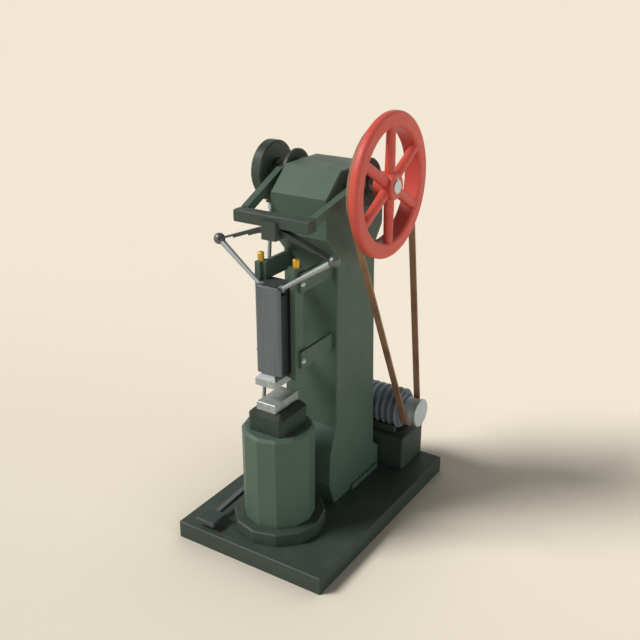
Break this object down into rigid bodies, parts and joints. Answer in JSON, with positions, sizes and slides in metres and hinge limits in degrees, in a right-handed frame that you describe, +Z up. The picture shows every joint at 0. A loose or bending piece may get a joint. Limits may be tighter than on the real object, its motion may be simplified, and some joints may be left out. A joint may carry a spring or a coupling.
{
  "type": "spring power hammer",
  "caption": "Belt-driven spring power hammer with a green C-frame, separate anvil, bow spring and guided ram, red spoked flywheel, finned motor and foot treadle",
  "frame": {"origin": "centre of the bedplate's underside, on the floor", "axes": "+X toward the flywheel side, -Y the working side with the anvil, +Z up"},
  "size_m": [0.9, 1.364, 2.236],
  "materials": {
    "frame_green": "satin",
    "dark_green": "satin",
    "wheel_red": "satin",
    "bright_steel": "satin",
    "die_steel": "satin",
    "spring_steel": "satin",
    "oil_brass": "satin",
    "belt_leather": "satin",
    "motor_grey": "satin",
    "treadle_iron": "matte",
    "shoe_wood": "matte"
  },
  "bodies": {
    "frame": {"anvil_foot": "dark_green", "anvil_pedestal": "dark_green", "bedplate": "dark_green", "drive_belt": "belt_leather", "frame_casting": "frame_green", "guide_left": "frame_green", "guide_right": "frame_green", "lower_brackets": "frame_green", "lower_die": "die_steel", "motor_block": "dark_green", "motor_body": "motor_grey", "motor_drive_bell": "motor_grey", "motor_fan_cover": "motor_grey", "motor_feet": "motor_grey", "oil_cups": "oil_brass", "shaft_bearing_left": "dark_green", "shaft_bearing_right": "dark_green", "sow_block": "die_steel", "treadle_bearings": "dark_green", "upper_brackets": "frame_green"},
    "flywheel": {"main_shaft": "bright_steel", "flywheel_hub": "wheel_red", "flywheel_rim": "wheel_red", "brake_disc": "dark_green"},
    "motor_rotor": {"motor_pulley": "bright_steel"},
    "ram": {"ram": "die_steel", "ram_pins": "bright_steel", "upper_die": "die_steel"},
    "yoke": {"yoke_crossbar": "dark_green", "yoke_arm_left": "frame_green", "yoke_arm_right": "frame_green", "yoke_boss_left": "dark_green", "yoke_boss_right": "dark_green"},
    "bow": {"spring_hanger": "dark_green", "main_leaf": "spring_steel", "helper_leaves": "spring_steel", "spring_ball_left": "bright_steel", "spring_ball_right": "bright_steel", "link_left": "bright_steel", "link_right": "bright_steel"},
    "treadle": {"treadle_pedal": "treadle_iron", "treadle_lever": "treadle_iron", "treadle_shaft": "treadle_iron"},
    "brake_rod": {"brake_rod": "bright_steel", "brake_shoe": "shoe_wood"}
  },
  "joints": [
    {"name": "flywheel_spin", "type": "hinge", "parent": "frame", "child": "flywheel", "pos_m": [0, 0.128, 1.873], "axis": [1, 0, 0], "continuous": true},
    {"name": "motor_spin", "type": "hinge", "parent": "frame", "child": "motor_rotor", "pos_m": [0.292, 0.562, 0.424], "axis": [1, 0, 0], "continuous": true},
    {"name": "ram_slide", "type": "slide", "parent": "frame", "child": "ram", "axis": [0, 0, 1], "range_m": [-0.06, 0.105]},
    {"name": "yoke_rock", "type": "hinge", "parent": "frame", "child": "yoke", "pos_m": [0, 0.128, 1.873], "axis": [-1, 0, 0], "range_deg": [-7.11, 12.21]},
    {"name": "bow_swing", "type": "hinge", "parent": "yoke", "child": "bow", "pos_m": [0, -0.377, 1.767], "axis": [-1, 0, 0], "range_deg": [-15.37, 8.91]},
    {"name": "treadle_press", "type": "hinge", "parent": "frame", "child": "treadle", "pos_m": [-0.285, 0.04, 0.176], "axis": [1, 0, 0], "range_deg": [0, 1.9], "stiffness_Nm_per_rad": 150, "springref_deg": -14.32},
    {"name": "rod_pivot", "type": "hinge", "parent": "treadle", "child": "brake_rod", "pos_m": [-0.3655, -0.041, 0.176], "axis": [1, 0, 0], "range_deg": [-1.95, 0.05]}
  ],
  "couplings": [
    {"joint": "motor_spin", "follows": "flywheel_spin", "ratio": 3.5917},
    {"joint": "yoke_rock", "follows": "ram_slide", "rad_per_m": 1.9802},
    {"joint": "bow_swing", "follows": "ram_slide", "rad_per_m": -2.505},
    {"joint": "rod_pivot", "follows": "treadle_press", "ratio": -1}
  ]
}
